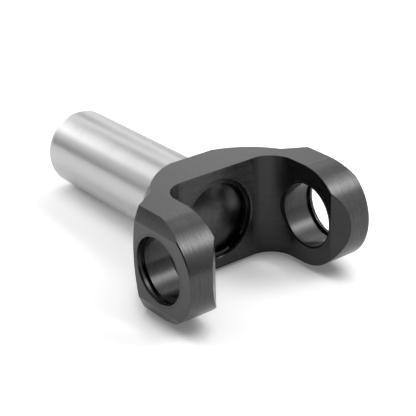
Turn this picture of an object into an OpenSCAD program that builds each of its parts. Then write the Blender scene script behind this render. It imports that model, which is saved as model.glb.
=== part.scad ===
// Slip yoke: a splined barrel that slides on a shaft, with a forked head for a universal joint.
// X runs along the barrel towards the ear tips, Y along the cross bores, and Z is up.
// The origin is where the barrel's axis meets the axis of the cross bores.
// Positions on the barrel side are written as distances back from the origin.

/* [Barrel] */
// Outer diameter of the ground barrel
barrel_d = 38.18; // [37.8:0.01:42]
// Distance from the cross bores' axis to the open end
barrel_reach = 137.5; // [130:0.5:180]
// Length of the lead chamfer on the open end
barrel_lead = 2; // [0.5:0.1:3]
// Depth of the lead chamfer, measured on the radius
barrel_lead_depth = 0.8; // [0.2:0.1:1.2]
// Radius of the fillet between the barrel and the shoulder
shoulder_fillet = 2; // [1:0.1:3]

/* [Shaft bore] */
// Diameter of the smooth bore at the open end
pilot_d = 31; // [30.6:0.1:31.6]
// Depth of the smooth bore from the open end
pilot_depth = 18; // [8:0.5:30]
// Width of the chamfer at the mouth of the smooth bore
pilot_chamfer = 1; // [0.3:0.1:1.5]
// Number of internal spline teeth
spline_teeth = 27; // [20:1:32]
// Diameter at the roots of the internal teeth
spline_major_d = 30; // [29.4:0.1:30.4]
// Diameter at the crests of the internal teeth
spline_minor_d = 27.6; // [26.6:0.1:28.4]
// Length of the splined stretch
spline_length = 72; // [50:1:80]
// Width of the chamfers at both ends of the splines
spline_chamfer = 0.8; // [0.3:0.1:1.2]
// Diameter of the relief bore between the splines and the plug
relief_d = 31.6; // [30.8:0.1:33]

/* [Head] */
// Width over the outer faces of the ears
head_w = 100; // [98:0.5:104]
// Height of the head between its flats
head_h = 49; // [46:0.5:52]
// Diameter that the head is turned to
swing_d = 106.5; // [106:0.5:112]
// Distance back to the flat shoulder around the barrel
shoulder_back = 42; // [40:0.5:46]
// Radius of the ball-shaped shoulder
ball_r = 48.1; // [47:0.1:50]
// Distance back to the centre of the ball-shaped shoulder
ball_back = 2.3; // [0:0.1:4]
// Distance back to the corner where the flare meets the turned diameter
flare_back = 15.5; // [14:0.1:18]
// Angle of the flare to the barrel's axis
flare_angle = 55.5; // [48:0.5:62]
// Radius of the fillet between the ball-shaped shoulder and the flare
neck_fillet = 6; // [3:0.5:8]

/* [Ears] */
// Clear width between the inner faces of the ears
ear_gap = 64.8; // [62:0.2:68]
// Distance from the cross bores' axis to the ear tips
ear_reach = 23.1; // [21:0.1:26]
// Radius of the rounds on the ear tips
tip_r = 24.4; // [23.4:0.1:24.5]
// Distance from the cross bores' axis to the line where the flats stop and the rounds start
flat_end = 0; // [-1:0.1:1]
// Width of the broken edges between the rounds and the outer faces
tip_break = 0.4; // [0.2:0.1:0.8]
// Distance back to the web face between the ears
web_back = 22.2; // [21.8:0.1:24]
// Radius of the fillets between the web and the ears
web_fillet = 12.7; // [10:0.1:12.8]
// Distance from the cross bores' axis to the start of the bevel inside each tip
bevel_start = 16.7; // [16.2:0.1:19]
// Angle of the bevel inside each tip to the inner face
bevel_angle = 45; // [35:1:50]

/* [Cross bores] */
// Diameter that holds the bearing cups
cup_bore_d = 30.18; // [27:0.01:30.6]
// Distance over the two bearing cups, between their retaining rings
cup_span = 92.08; // [88:0.01:94]
// Width of the retaining ring groove in each ear
cup_groove_w = 2.4; // [1.2:0.1:2.6]
// Depth of the retaining ring groove, on the radius
cup_groove_depth = 1.4; // [0.6:0.1:1.6]
// Length of the lead at each outer mouth
cup_lead = 0.8; // [0.4:0.1:1.2]
// Depth of the lead at each outer mouth, on the radius
cup_lead_depth = 0.25; // [0.1:0.05:0.5]
// Length of the chamfer where each bore meets the inner face
cup_chamfer = 0.35; // [0.2:0.05:0.8]
// Depth of that chamfer, on the radius
cup_chamfer_depth = 0.65; // [0.4:0.05:1]

/* [Plug seat] */
// Diameter of the bore that holds the plug
plug_bore_d = 38; // [36:0.1:38.4]
// Width of the chamfer at its mouth
plug_bore_chamfer = 0.5; // [0.2:0.1:0.6]
// Distance from the web face to the front of the retaining ring
ring_inset = 1.25; // [1:0.05:2]
// Thickness of the retaining ring
ring_t = 2.3; // [1.6:0.1:2.6]
// Inner diameter of the retaining ring
ring_inner_d = 34; // [32:0.1:34.6]
// Depth of the ring's groove, on the radius
ring_groove_depth = 0.9; // [0.6:0.1:1.1]
// Angle that the gap between the ring's ends takes
ring_gap_angle = 27; // [20:1:40]
// Direction of the gap, from the right ear towards the top
ring_gap_turn = -55.5; // [-180:0.5:180]
// Play between the ring and its groove, and between the ring and the plug
ring_play = 0.1; // [0.05:0.01:0.15]

/* [Plug] */
// Outer radius of the plug's dome
dome_r = 41; // [36:0.5:50]
// Thickness of the plug
plug_t = 2.5; // [2:0.1:3]
// Radial play between the plug and its bore
plug_play = 0.05; // [0.03:0.01:0.1]

/* [Hidden] */
$fn = 128;

// How far a cutting tool runs past the face that it cuts
overrun = 5;

barrel_r = barrel_d / 2;
swing_r = swing_d / 2;
cup_r = cup_bore_d / 2;
plug_bore_r = plug_bore_d / 2;
spline_minor_r = spline_minor_d / 2;
spline_major_r = spline_major_d / 2;

// The splined stretch runs between the smooth bore and the relief bore
spline_back = barrel_reach - pilot_depth;
spline_front = spline_back - spline_length;
// Share of each pitch that a tooth space takes, at the crests and at the roots
space_at_crest = 0.58;
space_at_root = 0.34;

// The rounds on the ear tips are turned about a line just behind the cross bores' axis
tip_centre = ear_reach - tip_r;

// The ring lies in its groove, and the plug's dome stands just clear of the ring's inner edge
ring_front = web_back + ring_inset;
ring_rear = ring_front + ring_t;
ring_groove_r = plug_bore_r + ring_groove_depth;
plug_r = plug_bore_r - plug_play;
dome_back = ring_rear + ring_play + sqrt(pow(dome_r, 2) - pow(ring_inner_d / 2, 2));
plug_rim_front = dome_back - sqrt(pow(dome_r, 2) - pow(plug_r, 2));
plug_seat_back = plug_rim_front + plug_t;

// The neck fillet's circle touches the ball-shaped shoulder and the flare
flare_run = [cos(flare_angle), sin(flare_angle)];
flare_out = [-sin(flare_angle), cos(flare_angle)];
flare_corner = [-flare_back, swing_r];
ball_centre = [-ball_back, 0];
neck_offset = flare_corner + neck_fillet * flare_out - ball_centre;
neck_along = neck_offset * flare_run;
neck_reach = pow(neck_along, 2) - neck_offset * neck_offset + pow(ball_r + neck_fillet, 2);
neck_slide = sqrt(neck_reach) - neck_along;
neck_centre = flare_corner + neck_fillet * flare_out + neck_slide * flare_run;
neck_on_flare = flare_corner + neck_slide * flare_run;
neck_on_ball = ball_centre + (neck_centre - ball_centre) * ball_r / (ball_r + neck_fillet);
// A point well inside both surfaces, under the neck fillet
neck_inside = (neck_on_flare + neck_on_ball) / 2 - [0, neck_fillet];
// Where the flare's cone starts, well inside the ball
flare_foot_r = swing_r / 2;
flare_foot_back = flare_back + (swing_r - flare_foot_r) / tan(flare_angle);

// A round bar or cone along X, from one distance back to a smaller one
module along_x(back, front, r_back, r_front) {
    translate([-back, 0, 0])
        rotate([0, 90, 0])
            cylinder(h = back - front, r1 = r_back, r2 = r_front);
}

// A round bar or cone along Y
module along_y(start, end, r_start, r_end) {
    translate([0, start, 0])
        rotate([-90, 0, 0])
            cylinder(h = end - start, r1 = r_start, r2 = r_end);
}

// The same thing on both ears
module both_ears() {
    children();
    mirror([0, 1, 0])
        children();
}

module barrel() {
    along_x(barrel_reach - barrel_lead, shoulder_back - overrun, barrel_r, barrel_r);
    along_x(barrel_reach, barrel_reach - barrel_lead, barrel_r - barrel_lead_depth, barrel_r);
    barrel_root();
}

// Fillet where the barrel runs into the flat shoulder
module barrel_root() {
    fillet_r = barrel_r + shoulder_fillet;
    difference() {
        along_x(shoulder_back + shoulder_fillet, shoulder_back - overrun, fillet_r, fillet_r);
        translate([-shoulder_back - shoulder_fillet, 0, 0])
            rotate([0, 90, 0])
                rotate_extrude()
                    translate([fillet_r, 0])
                        circle(r = shoulder_fillet);
    }
}

// The head as it leaves the lathe: ball-shaped shoulder, neck, flare and turned diameter
module turned_head() {
    intersection() {
        translate([-ball_back, 0, 0])
            sphere(r = ball_r);
        along_x(shoulder_back, flare_back, swing_r, swing_r);
    }
    neck();
    along_x(flare_foot_back, flare_back, flare_foot_r, swing_r);
    along_x(flare_back, -ear_reach, swing_r, swing_r);
}

// Ring of metal that fills the corner between the ball and the flare
module neck() {
    rotate([0, 90, 0])
        difference() {
            rotate_extrude()
                polygon([for (p = [neck_centre, neck_on_ball, neck_inside, neck_on_flare]) [p[1], p[0]]]);
            translate([0, 0, neck_centre[0]])
                rotate_extrude()
                    translate([neck_centre[1], 0])
                        circle(r = neck_fillet);
        }
}

// Outline of the head seen along the cross bores: parallel flats, then the rounds on the ear tips
module side_outline() {
    back = shoulder_back + overrun;
    intersection() {
        translate([-back, -head_w / 2, -head_h / 2])
            cube([back + ear_reach, head_w, head_h]);
        union() {
            translate([-back, -head_w / 2, -head_h])
                cube([back + flat_end, head_w, 2 * head_h]);
            translate([tip_centre, 0, 0])
                tip_round();
        }
    }
}

// Bar across both ears that gives their tips the round, with broken edges at the outer faces
module tip_round() {
    face = head_w / 2;
    along_y(tip_break - face, face - tip_break, tip_r, tip_r);
    both_ears()
        along_y(face - tip_break, face, tip_r, tip_r - tip_break);
}

// Slot between the ears, with filleted corners and bevels inside the tips
module fork_slot() {
    half_gap = ear_gap / 2;
    slot_h = head_h + 2 * overrun;
    front = ear_reach + overrun;
    corner_x = web_fillet - web_back;
    corner_y = half_gap - web_fillet;
    bevel_foot = overrun / tan(bevel_angle);
    translate([corner_x, -half_gap, -slot_h / 2])
        cube([front - corner_x, ear_gap, slot_h]);
    translate([-web_back, -corner_y, -slot_h / 2])
        cube([front + web_back, 2 * corner_y, slot_h]);
    both_ears() {
        translate([corner_x, corner_y, -slot_h / 2])
            cylinder(r = web_fillet, h = slot_h);
        translate([0, 0, -slot_h / 2])
            linear_extrude(height = slot_h)
                polygon([
                    [bevel_start - bevel_foot, half_gap - overrun],
                    [front, half_gap - overrun],
                    [front, half_gap + (front - bevel_start) * tan(bevel_angle)]
                ]);
    }
}

// Bores for the bearing cups, with their ring grooves, leads and inner chamfers
module cross_bores() {
    face = head_w / 2;
    inner = ear_gap / 2;
    groove = cup_span / 2;
    groove_r = cup_r + cup_groove_depth;
    chamfer_r = cup_r + cup_chamfer_depth;
    along_y(-face - overrun, face + overrun, cup_r, cup_r);
    along_y(-inner, inner, chamfer_r, chamfer_r);
    both_ears() {
        along_y(inner, inner + cup_chamfer, chamfer_r, cup_r);
        along_y(groove, groove + cup_groove_w, groove_r, groove_r);
        along_y(face - cup_lead, face + cup_lead, cup_r, cup_r + 2 * cup_lead_depth);
    }
}

// Bore for the plug, open to the fork, with the groove for its retaining ring
module plug_seat() {
    groove_front = ring_front - ring_play / 2;
    groove_back = ring_rear + ring_play / 2;
    mouth_r = plug_bore_r + 2 * plug_bore_chamfer;
    along_x(plug_seat_back, web_back - overrun, plug_bore_r, plug_bore_r);
    along_x(groove_back, groove_front, ring_groove_r, ring_groove_r);
    along_x(web_back + plug_bore_chamfer, web_back - plug_bore_chamfer, plug_bore_r, mouth_r);
}

// Bore for the shaft: smooth lead-in, splines and relief
module shaft_bore() {
    pilot_r = pilot_d / 2;
    relief_r = relief_d / 2;
    chamfer_r = spline_minor_r + spline_chamfer;
    along_x(barrel_reach + overrun, spline_back, pilot_r, pilot_r);
    along_x(barrel_reach + pilot_chamfer, barrel_reach - pilot_chamfer, pilot_r + 2 * pilot_chamfer, pilot_r);
    along_x(spline_back, spline_back - spline_chamfer, chamfer_r + spline_chamfer, chamfer_r);
    along_x(spline_front + spline_chamfer, spline_front, chamfer_r, chamfer_r + spline_chamfer);
    splines();
    along_x(spline_front, plug_seat_back - overrun, relief_r, relief_r);
}

// Internal splines, as the shape of the shaft that fills them
module splines() {
    pitch = 360 / spline_teeth;
    crest = space_at_crest * pitch / 2;
    root = space_at_root * pitch / 2;
    corners = [[-crest, spline_minor_r], [-root, spline_major_r], [root, spline_major_r], [crest, spline_minor_r]];
    translate([-spline_back - overrun, 0, 0])
        rotate([0, 90, 0])
            linear_extrude(height = spline_length + 2 * overrun)
                polygon([
                    for (i = [0 : spline_teeth - 1])
                        for (c = corners)
                            c[1] * [cos(i * pitch + c[0]), sin(i * pitch + c[0])]
                ]);
}

module yoke() {
    difference() {
        union() {
            color("silver")
                barrel();
            color("dimgray")
                intersection() {
                    turned_head();
                    side_outline();
                }
        }
        fork_slot();
        cross_bores();
        plug_seat();
        shaft_bore();
    }
}

// Domed disc that closes the shaft bore, pressed against the step behind it
module sealing_plug() {
    color("gray")
        difference() {
            intersection() {
                translate([-dome_back, 0, 0])
                    rotate([0, 90, 0])
                        sphere(r = dome_r);
                along_x(plug_seat_back, 0, plug_r, plug_r);
            }
            translate([-dome_back, 0, 0])
                rotate([0, 90, 0])
                    sphere(r = dome_r - plug_t);
        }
}

// Open ring that holds the plug in
module retaining_ring() {
    outer_r = ring_groove_r - ring_play;
    inner_r = ring_inner_d / 2;
    half = ring_gap_angle / 2;
    far = 2 * outer_r / cos(half);
    color("darkgray")
        difference() {
            along_x(ring_rear, ring_front, outer_r, outer_r);
            along_x(ring_rear + overrun, ring_front - overrun, inner_r, inner_r);
            rotate([ring_gap_turn, 0, 0])
                translate([-ring_rear - overrun, 0, 0])
                    rotate([90, 0, 90])
                        linear_extrude(height = ring_t + 2 * overrun)
                            polygon([[0, 0], far * [cos(half), -sin(half)], far * [cos(half), sin(half)]]);
        }
}

yoke();
sealing_plug();
retaining_ring();
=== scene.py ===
import math
from types import SimpleNamespace

import bpy
from mathutils import Matrix, Vector


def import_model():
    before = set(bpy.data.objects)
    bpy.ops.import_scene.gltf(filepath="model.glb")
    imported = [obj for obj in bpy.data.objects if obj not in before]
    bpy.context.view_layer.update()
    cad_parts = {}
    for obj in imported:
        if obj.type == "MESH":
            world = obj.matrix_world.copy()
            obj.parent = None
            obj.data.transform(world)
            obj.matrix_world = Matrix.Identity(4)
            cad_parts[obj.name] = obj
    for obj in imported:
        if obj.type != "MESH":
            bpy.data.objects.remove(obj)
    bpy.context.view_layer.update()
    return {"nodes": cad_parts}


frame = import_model()

# Places and sizes on the part, in metres, from its source
SHOULDER_X = -0.042
FILLET_X = -0.044
LEAD_X = -0.1355
BARREL_R = 0.01909
HEAD_HALF_H = 0.0245
TIP_X = -0.0013
TIP_R = 0.0244
EAR_INNER = 0.0324
FLARE_X = 0.0167
WEB_X = -0.0222
CUP_GROOVE_R = 0.01649
CUP_MOUTH_R = 0.01578

# Just outside the widest bore behind the barrel's open end
INSIDE_R = 0.0159

# Where the web's fillets start to roughen and where they are roughest, sideways and along the axis
FILLET_SIDE = (0.0190, 0.0215)
FILLET_DEPTH = (-0.0094, -0.0110)

# Unit in which the soft edges between surfaces are counted
FADE = 0.0001

# The part rests on the rear edge of the head's lower flat and on the barrel's open end
TILT = math.atan((HEAD_HALF_H - BARREL_R) / (SHOULDER_X - LEAD_X))
UP = Vector((math.sin(TILT), 0.0, math.cos(TILT)))
FLOOR_POINT = Vector((SHOULDER_X, 0.0, -HEAD_HALF_H))

WHITE = (1.0, 1.0, 1.0, 1.0)

# Range in which nearly all values of a noise lie
NOISE_RANGE = (0.3, 0.7)

# Rays that the shading of broken edges and of the floor's contact shade send out
BEVEL_SAMPLES = 6
CONTACT_SAMPLES = 16


class Graph:
    """Small helper for writing a node tree as expressions."""

    def __init__(self, tree):
        self.tree = tree

    def node(self, kind, **values):
        n = self.tree.nodes.new(kind)
        for key, value in values.items():
            setattr(n, key, value)
        return n

    def link(self, source, target):
        self.tree.links.new(source, target)

    def put(self, target, value):
        if isinstance(value, bpy.types.NodeSocket):
            self.link(value, target)
        else:
            target.default_value = value

    def math(self, op, *values):
        n = self.node("ShaderNodeMath", operation=op)
        for socket, value in zip(n.inputs, values):
            self.put(socket, value)
        return n.outputs[0]

    def chain(self, op, first, *rest):
        for value in rest:
            first = self.math(op, first, value)
        return first

    def plus(self, *values):
        return self.chain("ADD", *values)

    def minus(self, *values):
        return self.chain("SUBTRACT", *values)

    def times(self, *values):
        return self.chain("MULTIPLY", *values)

    def dot(self, a, b):
        n = self.node("ShaderNodeVectorMath", operation="DOT_PRODUCT")
        self.put(n.inputs[0], a)
        self.put(n.inputs[1], b)
        return n.outputs["Value"]

    def length(self, a, b):
        return self.math("SQRT", self.plus(self.times(a, a), self.times(b, b)))

    def ramp(self, value, start, end, out_start=0.0, out_end=1.0, smooth=True):
        n = self.node("ShaderNodeMapRange")
        n.interpolation_type = "SMOOTHSTEP" if smooth else "LINEAR"
        self.put(n.inputs["Value"], value)
        n.inputs["From Min"].default_value = start
        n.inputs["From Max"].default_value = end
        n.inputs["To Min"].default_value = out_start
        n.inputs["To Max"].default_value = out_end
        return n.outputs["Result"]

    def edge(self, value, place, start, end):
        """0 at start and 1 at end, both counted in FADE from the place."""
        return self.ramp(value, place + start * FADE, place + end * FADE)

    def spread(self, noise, low, high):
        """The noise as a value between low and high."""
        return self.ramp(noise, *NOISE_RANGE, low, high)

    def swing(self, noise, amount):
        """The noise as a value that swings about zero."""
        return self.spread(noise, -amount, amount)

    def mix(self, factor, a, b):
        n = self.node("ShaderNodeMix", data_type="FLOAT")
        self.put(n.inputs["Factor"], factor)
        self.put(n.inputs["A"], a)
        self.put(n.inputs["B"], b)
        return n.outputs["Result"]

    def combine(self, x, y, z):
        n = self.node("ShaderNodeCombineXYZ")
        for socket, value in zip(n.inputs, (x, y, z)):
            self.put(socket, value)
        return n.outputs[0]

    def separate(self, vector):
        n = self.node("ShaderNodeSeparateXYZ")
        self.link(vector, n.inputs[0])
        return n.outputs

    def stretched(self, place, sx, sy, sz):
        n = self.node("ShaderNodeMapping")
        self.link(place, n.inputs["Vector"])
        n.inputs["Scale"].default_value = (sx, sy, sz)
        return n.outputs["Vector"]

    def noise(self, place, scale, detail, rough):
        n = self.node("ShaderNodeTexNoise")
        self.put(n.inputs["Vector"], place)
        n.inputs["Scale"].default_value = scale
        n.inputs["Detail"].default_value = detail
        n.inputs["Roughness"].default_value = rough
        return n.outputs["Fac"]

    def marks(self, x, y, z, detail=3.0, rough=0.6):
        """Noise over three values that are already counted in marks."""
        return self.noise(self.combine(x, y, z), 1.0, detail, rough)

    def object_place(self):
        return self.node("ShaderNodeTexCoord").outputs["Object"]

    def surface_relief(self, height, distance, edge_radius):
        """Normal with softened edges and the height as relief."""
        soft = self.node("ShaderNodeBevel", samples=BEVEL_SAMPLES)
        soft.inputs["Radius"].default_value = edge_radius
        n = self.node("ShaderNodeBump")
        n.inputs["Strength"].default_value = 1.0
        n.inputs["Distance"].default_value = distance
        self.put(n.inputs["Height"], height)
        self.link(soft.outputs[0], n.inputs["Normal"])
        return n.outputs[0]


def empty_tree(name):
    """New material without nodes, and its graph."""
    m = bpy.data.materials.new(name)
    m.use_nodes = True
    m.node_tree.nodes.clear()
    return m, Graph(m.node_tree)


def steel_material(name):
    """New material with one Principled node linked to its output."""
    m, g = empty_tree(name)
    out = g.node("ShaderNodeOutputMaterial")
    bsdf = g.node("ShaderNodeBsdfPrincipled")
    g.link(bsdf.outputs[0], out.inputs["Surface"])
    return m, g, bsdf


# How much light the oxidised steel reflects, square on, by place; the lower values in the fork and on
# its web are painted shade for the hollow between the ears
OUTSIDE_SHADE = 0.065
FORK_SHADE = 0.035
WEB_SHADE = 0.048
BORE_SHADE = 0.05

# Share by which the colour of the chamfers at the bores' inner mouths is darkened, a painted shade
# that keeps them from catching light
MOUTH_PAINTED_SHADE = 0.55

# The oxide in the fork is thicker and scatters some of the light
FORK_METAL = 0.78

# Marks per metre, across the tool's path first where there are two, and the patches' stretch
BELT = (2600.0, 200.0)
STROKES = (1200.0, 75.0)
BORE_RINGS = (1300.0, 12.0)
MILLING = (1500.0, 25.0)
BARREL_RINGS = (5200.0, 300.0)
CLOUD = 60
GRAIN = 1400
PATCHES = 45
PATCH_STRETCH = (1.0, 0.35, 0.35)

# Share by which each kind of mark changes the head's shade
CLOUD_SHADE = 0.06
GRAIN_SHADE = 0.03
BELT_SHADE = 0.05
STROKE_SHADE = 0.09
MILLING_SHADE = 0.09
BORE_RING_SHADE = 0.05

# Roughness of the head, and what each place or mark adds to it
HEAD_ROUGH = (0.28, 0.31)
BORE_ROUGH = (0.24, 0.31)
GRAIN_ROUGH = 0.02
BELT_ROUGH = 0.045
MILLING_ROUGH = 0.02
FORK_SMOOTHER = 0.07
WEB_ROUGHER = 0.06
FILLET_ROUGHER = 0.08
MOUTH_ROUGHER = 0.44

# Brightness and roughness of the ground barrel, and how far the grinding rings swing them
BARREL_VALUE = (0.42, 0.44)
BARREL_ROUGH = (0.275, 0.305)
RING_VALUE = 0.006
RING_ROUGH = 0.008

# Blue of the steel against its red and green, and how far its marks smear reflections
STEEL_BLUE = 1.01
SMEAR = 0.5

# Relief of the marks: its depth in metres, and the share of it that each kind has
RELIEF = 0.00001
GRAIN_RELIEF = 0.1
BORE_RING_RELIEF = 0.5
RING_RELIEF = 0.06
YOKE_EDGE = 0.0003


def yoke_places(g, place):
    """Distances on the yoke, and masks that are 1 on one kind of surface and 0 elsewhere."""
    p = SimpleNamespace()
    p.x, p.y, p.z = g.separate(place)
    p.radius = g.length(p.y, p.z)
    p.side = g.math("ABSOLUTE", p.y)
    up = g.math("ABSOLUTE", p.z)

    # The barrel's outside and end face
    on_barrel = g.edge(p.x, FILLET_X, 2, -2)
    p.bright = g.times(on_barrel, g.edge(p.radius, INSIDE_R, -1, 1))

    # The cross bores, and the small chamfers where they open into the fork, which get a painted shade
    bore_radius = g.length(p.x, p.z)
    in_ears = g.edge(p.side, EAR_INNER, -2, 0)
    p.in_bore = g.times(in_ears, g.edge(bore_radius, CUP_GROOVE_R, 3, 1))
    near_fork = g.edge(p.side, EAR_INNER, 6, 4)
    p.mouth = g.times(near_fork, g.edge(bore_radius, CUP_MOUTH_R, 1, 0))

    # The rounds of the ear tips
    ahead = g.minus(p.x, TIP_X)
    tip_radius = g.length(ahead, p.z)
    p.on_tip = g.times(g.edge(p.x, 0.0, 0, 2), g.edge(tip_radius, TIP_R, -7, -5))

    # The web, its fillets and the inner faces, which widen from FLARE_X on
    flare = g.math("MAXIMUM", g.minus(p.x, FLARE_X), 0.0)
    inward = g.minus(p.side, flare, EAR_INNER)
    between = g.times(g.edge(inward, 0.0, 3, 1), g.edge(p.x, WEB_X, -10, -8))
    p.in_fork = g.times(between, g.edge(up, HEAD_HALF_H, -1, -2))
    p.on_web = g.edge(p.x, WEB_X, 3, 1)

    # Distance along the belt's path: straight over the flats, then round the tips
    turn = g.minus(math.pi / 2, g.math("ARCTAN2", up, ahead))
    p.along = g.mix(p.on_tip, ahead, g.times(turn, TIP_R))
    return p


def yoke_marks(g, place, p):
    """The noises of the oxide and of the tools."""
    n = SimpleNamespace()
    n.cloud = g.noise(place, CLOUD, 3.0, 0.6)
    n.grain = g.noise(place, GRAIN, 2.0, 0.6)
    n.belt = g.marks(g.times(p.y, BELT[0]), g.times(p.along, BELT[1]), p.z, rough=0.65)
    strokes_across = g.times(p.y, STROKES[0])
    n.strokes = g.marks(strokes_across, g.times(p.along, STROKES[1]), p.z, 2.0, 0.5)
    n.bore_rings = g.marks(g.times(p.y, BORE_RINGS[0]), g.times(p.z, BORE_RINGS[1]), 0.0)
    milled_x = g.times(p.x, MILLING[1])
    n.milling = g.marks(milled_x, g.times(p.y, MILLING[1]), g.times(p.z, MILLING[0]))
    rings_across = g.times(p.x, BARREL_RINGS[0])
    n.rings = g.marks(rings_across, g.times(p.radius, BARREL_RINGS[1]), 0.0)
    n.patches = g.noise(g.stretched(place, *PATCH_STRETCH), PATCHES, 3.0, 0.6)
    return n


def head_value(g, p, n):
    """Oxide with a fine mottling, the marks of each surface on it, and painted shade in the fork and
    at the bores' inner mouths.
    """
    # Painted shade: the fork and its web get a darker shade than the outside
    fork_shade = g.mix(p.on_web, FORK_SHADE, WEB_SHADE)
    shade = g.mix(p.in_bore, g.mix(p.in_fork, OUTSIDE_SHADE, fork_shade), BORE_SHADE)
    oxide = g.plus(g.spread(n.cloud, 1 - CLOUD_SHADE, 1 + CLOUD_SHADE), g.swing(n.grain, GRAIN_SHADE))
    belt = g.plus(g.swing(n.belt, BELT_SHADE), g.swing(n.strokes, STROKE_SHADE))
    marks = g.plus(
        oxide,
        g.times(p.on_tip, belt),
        g.times(p.in_fork, g.swing(n.milling, MILLING_SHADE)),
        g.times(p.in_bore, g.swing(n.bore_rings, BORE_RING_SHADE)),
    )
    # The chamfers at the bores' inner mouths are darkened by a painted shade
    return g.times(shade, marks, g.minus(1.0, g.times(p.mouth, MOUTH_PAINTED_SHADE)))


def head_roughness(g, p, n):
    outside = g.plus(g.spread(n.cloud, *HEAD_ROUGH), g.swing(n.grain, GRAIN_ROUGH))
    tip = g.plus(outside, g.swing(n.belt, BELT_ROUGH))
    in_fillet = g.times(g.ramp(p.side, *FILLET_SIDE), g.ramp(p.x, *FILLET_DEPTH, 0.0, FILLET_ROUGHER))
    fork = g.plus(
        g.minus(outside, FORK_SMOOTHER),
        g.swing(n.milling, MILLING_ROUGH),
        g.times(p.on_web, WEB_ROUGHER),
        in_fillet,
    )
    rough = g.mix(p.on_tip, g.mix(p.in_fork, outside, fork), tip)
    rough = g.mix(p.in_bore, rough, g.spread(n.bore_rings, *BORE_ROUGH))
    return g.plus(rough, g.times(p.mouth, MOUTH_ROUGHER))


def yoke_material():
    """Black oxide on the machined head, ground bright on the barrel, told apart by place."""
    m, g, bsdf = steel_material("yoke_steel")
    place = g.object_place()
    p = yoke_places(g, place)
    n = yoke_marks(g, place, p)

    # The barrel is ground round its axis, so its marks are rings
    barrel_value = g.plus(g.spread(n.patches, *BARREL_VALUE), g.swing(n.rings, RING_VALUE))
    barrel_rough = g.plus(g.spread(n.patches, *BARREL_ROUGH), g.swing(n.rings, RING_ROUGH))
    value = g.mix(p.bright, head_value(g, p, n), barrel_value)
    g.link(g.combine(value, value, g.times(value, STEEL_BLUE)), bsdf.inputs["Base Color"])
    g.link(g.mix(p.in_fork, 1.0, FORK_METAL), bsdf.inputs["Metallic"])
    g.link(g.mix(p.bright, head_roughness(g, p, n), barrel_rough), bsdf.inputs["Roughness"])

    # Reflections smear across the marks: along Y on the rounds and in the bores, along X elsewhere
    bsdf.inputs["Anisotropic"].default_value = SMEAR
    across = g.math("MAXIMUM", p.on_tip, p.in_bore)
    g.link(g.combine(g.minus(1.0, across), across, 0.0), bsdf.inputs["Tangent"])

    # Broken edges, and the marks as relief
    marks = g.mix(p.on_tip, g.times(n.grain, GRAIN_RELIEF), n.belt)
    marks = g.mix(p.in_bore, marks, g.times(n.bore_rings, BORE_RING_RELIEF))
    height = g.mix(p.bright, marks, g.times(n.rings, RING_RELIEF))
    g.link(g.surface_relief(height, RELIEF, YOKE_EDGE), bsdf.inputs["Normal"])
    return m


# Oxidised steel of the plug and the ring: density of blotches and grain, how far they swing
# the shade and the roughness, the depth of the grain and the width of the broken edges
BLOTCHES = 160
FINE_GRAIN = 1500
FINE_GRAIN_SHADE = 0.04
BLOTCH_ROUGH = 0.02
FINE_GRAIN_ROUGH = 0.01
FINE_RELIEF = 0.000004
FINE_EDGE = 0.0002


def dark_steel(name, shade, rough, blotch):
    """Oxidised steel of the given shade and roughness, blotchy by the share given."""
    m, g, bsdf = steel_material(name)
    place = g.object_place()
    cloud = g.noise(place, BLOTCHES, 2.0, 0.5)
    grain = g.noise(place, FINE_GRAIN, 2.0, 0.6)
    oxide = g.plus(g.spread(cloud, 1 - blotch, 1 + blotch), g.swing(grain, FINE_GRAIN_SHADE))
    value = g.times(shade, oxide)
    g.link(g.combine(value, value, value), bsdf.inputs["Base Color"])
    bsdf.inputs["Metallic"].default_value = 1.0
    blotchy = g.spread(cloud, rough - BLOTCH_ROUGH, rough + BLOTCH_ROUGH)
    g.link(g.plus(blotchy, g.swing(grain, FINE_GRAIN_ROUGH)), bsdf.inputs["Roughness"])
    g.link(g.surface_relief(grain, FINE_RELIEF, FINE_EDGE), bsdf.inputs["Normal"])
    return m


def dress(name, material):
    o = frame["nodes"][name]
    for s in o.material_slots:
        s.material = material
    if not o.material_slots:
        o.data.materials.append(material)


dress("yoke", yoke_material())
dress("sealing_plug", dark_steel("plug_steel", shade=0.055, rough=0.31, blotch=0.22))
dress("retaining_ring", dark_steel("ring_steel", shade=0.042, rough=0.2, blotch=0.1))


# Colour of the floor for the light, and its colour and glow as the camera and the metal see them
FLOOR_HALF_SIZE = 40.0
FLOOR_TRUE = 0.9
FLOOR_SEEN = 1.05
FLOOR_GLOW = 0.39

# Painted contact shadow: the floor's seen colour and glow are darkened where the part covers its sky,
# looked for within this distance
CONTACT_REACH = 0.013

# Each step of the painted contact shadow: the share of open sky where it starts and where it is full,
# then how dark it gets under the barrel and under the head
PAINTED_SHADOW_STEPS = (
    (0.95, 0.45, 0.14, 0.1),
    (0.78, 0.38, 0.17, 0.5),
    (0.22, 0.13, 0.4, 0.0),
)

# Where the barrel's share ends and the head's begins
UNDER_BARREL_X = SHOULDER_X - 0.02
UNDER_HEAD_X = SHOULDER_X + 0.005


def painted_contact_shadow(g):
    """Painted contact shadow: 1 on the open floor, less where the part stands close over it."""
    open_sky = g.node("ShaderNodeAmbientOcclusion", samples=CONTACT_SAMPLES)
    open_sky.inputs["Distance"].default_value = CONTACT_REACH
    x = g.separate(g.object_place())[0]
    painted_shadow = 1.0
    for start, full, under_barrel, under_head in PAINTED_SHADOW_STEPS:
        share = g.ramp(x, UNDER_BARREL_X, UNDER_HEAD_X, under_barrel, under_head)
        covered = g.ramp(open_sky.outputs["AO"], start, full, smooth=False)
        painted_shadow = g.minus(painted_shadow, g.times(share, covered))
    return painted_shadow


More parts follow.
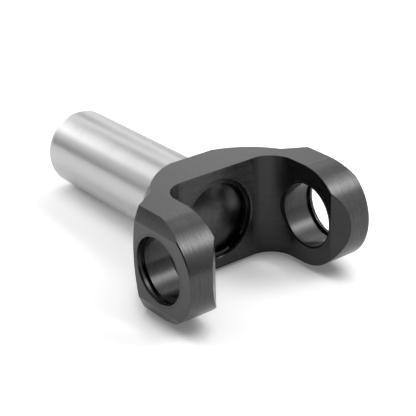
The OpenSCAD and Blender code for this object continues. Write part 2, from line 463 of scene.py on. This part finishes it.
def floor_material():
    m, g = empty_tree("floor_white")
    path = g.node("ShaderNodeLightPath")
    seen = g.math("MAXIMUM", path.outputs["Is Camera Ray"], path.outputs["Is Glossy Ray"])
    seen = g.math("MAXIMUM", seen, path.outputs["Is Transmission Ray"])
    painted_shadow = painted_contact_shadow(g)
    # The colour and glow that the camera and the metal see are darkened by the painted contact shadow
    value = g.mix(seen, FLOOR_TRUE, g.times(painted_shadow, FLOOR_SEEN))
    diffuse = g.node("ShaderNodeBsdfDiffuse")
    g.link(g.combine(value, value, value), diffuse.inputs["Color"])
    glow = g.node("ShaderNodeEmission")
    glow.inputs["Color"].default_value = WHITE
    g.link(g.times(seen, painted_shadow, FLOOR_GLOW), glow.inputs["Strength"])
    both = g.node("ShaderNodeAddShader")
    g.link(diffuse.outputs[0], both.inputs[0])
    g.link(glow.outputs[0], both.inputs[1])
    out = g.node("ShaderNodeOutputMaterial")
    g.link(both.outputs[0], out.inputs["Surface"])
    return m


def floor():
    """Wide pale floor under the part, square to UP."""
    side = Vector((0.0, 1.0, 0.0)) * FLOOR_HALF_SIZE
    run = side.cross(UP)
    corners = [FLOOR_POINT + run * a + side * b for a, b in ((-1, -1), (1, -1), (1, 1), (-1, 1))]
    mesh = bpy.data.meshes.new("floor")
    mesh.from_pydata(corners, [], [(0, 1, 2, 3)])
    mesh.materials.append(floor_material())
    o = bpy.data.objects.new("floor", mesh)
    bpy.context.scene.collection.objects.link(o)


def direction(azimuth, elevation):
    """Unit vector in the frame, for an azimuth from +X towards +Y and an elevation above the floor."""
    a, e = math.radians(azimuth), math.radians(elevation)
    flat = Vector((math.cos(e) * math.cos(a), math.cos(e) * math.sin(a), math.sin(e)))
    return Matrix.Rotation(TILT, 3, "Y") @ flat


# Softboxes and lit walls of the studio, as rectangles with soft edges on the sky round the part:
# azimuth, elevation, half width, half height, softness (all in degrees) and strength.
# They were first fitted to the photograph's reflections, then rounded and set one by one.
LIGHTS = (
    (55, 45, 11, 6, 12, 9.9),
    (75, 51, 12, 6, 12, 6.1),
    (44, 20, 5, 24, 12, 3.6),
    (143, 11, 6, 16, 13, 1.5),
    (143, 37, 18, 8, 12, 2.7),
    (-176, 18, 18, 11, 14, 5.5),
    (-145, 55, 13, 8, 12, 5.0),
    (114, 53, 10, 9, 13, 2.6),
    (-102, 72, 9, 7, 15, 1.6),
    (0, 89, 10, 10, 15, 0.5),
    (-130, 5, 9, 8, 12, 1.0),
    (-142, 17, 9, 8, 12, 1.1),
)

# Strength of the rest of the sky, and the size of the map by which Cycles finds the lights
SKY = 0.05
SKY_MAP = 1024


def world():
    """Dim sky with the lights on it."""
    w = bpy.data.worlds.new("studio")
    bpy.context.scene.world = w
    w.use_nodes = True
    w.node_tree.nodes.clear()
    g = Graph(w.node_tree)
    ray = g.node("ShaderNodeTexCoord").outputs["Generated"]
    level = SKY
    for turn, lift, half_w, half_h, soft, strength in LIGHTS:
        own_axes = (direction(turn, lift), direction(turn - 90, 0), direction(turn, lift + 90))
        toward, aside, above = (g.dot(ray, tuple(v)) for v in own_axes)
        aside = g.math("DEGREES", g.math("ABSOLUTE", g.math("ARCTAN2", aside, toward)))
        above = g.math("DEGREES", g.math("ABSOLUTE", g.math("ARCSINE", above)))
        across = g.ramp(aside, half_w + soft / 2, half_w - soft / 2)
        upright = g.ramp(above, half_h + soft / 2, half_h - soft / 2)
        level = g.plus(level, g.times(across, upright, strength))
    studio = g.node("ShaderNodeBackground")
    studio.inputs["Color"].default_value = WHITE
    g.link(level, studio.inputs["Strength"])
    out = g.node("ShaderNodeOutputWorld")
    g.link(studio.outputs[0], out.inputs["Surface"])
    w.cycles.sampling_method = "MANUAL"
    w.cycles.sample_map_resolution = SKY_MAP


# The photograph's camera, solved from the part's edges: its place in metres, its lens and sensor
# in millimetres, and in degrees its heading from +X towards +Y, its pitch and its roll
CAMERA_PLACE = (0.40345, -0.32668, 0.26093)
CAMERA_LENS = 114.55
CAMERA_SENSOR = 36.0
CAMERA_HEADING = 143.002
CAMERA_PITCH = -25.415
CAMERA_ROLL = 1.771


def camera():
    heading, pitch = math.radians(CAMERA_HEADING), math.radians(CAMERA_PITCH)
    flat = math.cos(pitch)
    ahead = Vector((flat * math.cos(heading), flat * math.sin(heading), math.sin(pitch)))
    level = ahead.cross(Vector((0.0, 0.0, 1.0))).normalized()
    right = Matrix.Rotation(math.radians(CAMERA_ROLL), 3, ahead) @ level
    axes = Matrix((right, right.cross(ahead), -ahead)).transposed().to_4x4()
    data = bpy.data.cameras.new("camera")
    data.sensor_width = CAMERA_SENSOR
    data.lens = CAMERA_LENS
    o = bpy.data.objects.new("camera", data)
    bpy.context.scene.collection.objects.link(o)
    o.matrix_world = Matrix.Translation(CAMERA_PLACE) @ axes
    bpy.context.scene.camera = o


floor()
world()
camera()
bpy.context.scene.view_settings.view_transform = "Standard"
